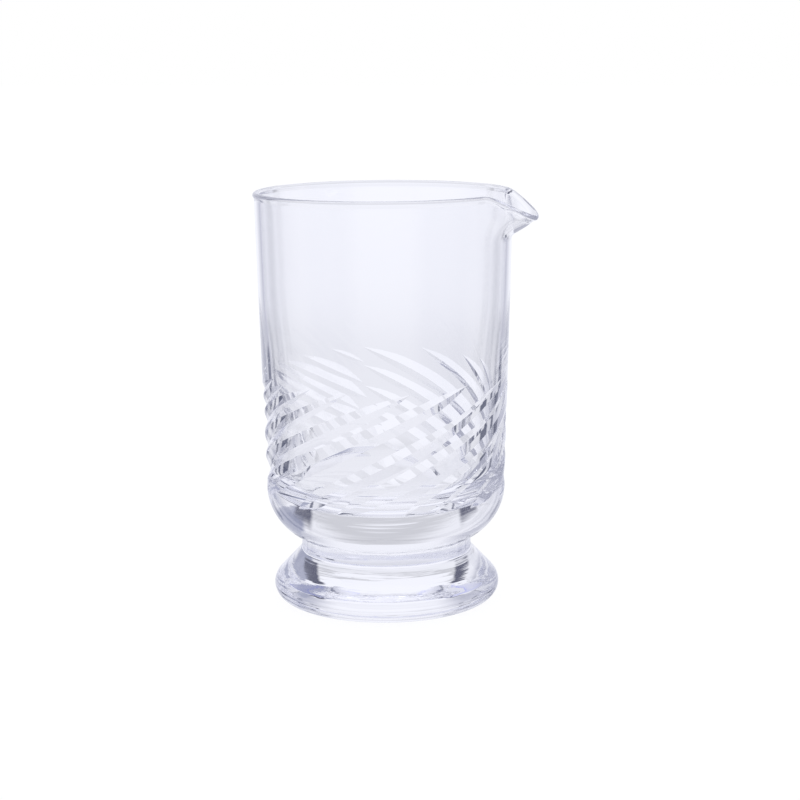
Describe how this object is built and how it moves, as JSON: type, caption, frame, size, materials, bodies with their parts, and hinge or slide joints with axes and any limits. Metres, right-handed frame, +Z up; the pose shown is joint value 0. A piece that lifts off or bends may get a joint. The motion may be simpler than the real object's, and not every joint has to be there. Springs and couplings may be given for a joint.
{
  "type": "mixing glass",
  "caption": "Clear footed stirring glass: straight tumbler with a rounded lip, a drawn pouring spout, a band of slanted ground cuts and a solid flared foot.",
  "frame": {"origin": "centre of the foot's flat ground underside, on the axis of the glass, at table height", "axes": "+Z up the axis of the glass towards the rim, +X from the axis towards the pouring spout"},
  "size_m": [0.1031, 0.0938, 0.1498],
  "materials": {
    "bowl_glass": "clear polished glass with ground V-shaped cuts",
    "foot_glass": "clear solid polished glass"
  },
  "bodies": {
    "root": {"bowl": "bowl_glass", "foot": "foot_glass"}
  },
  "joints": []
}
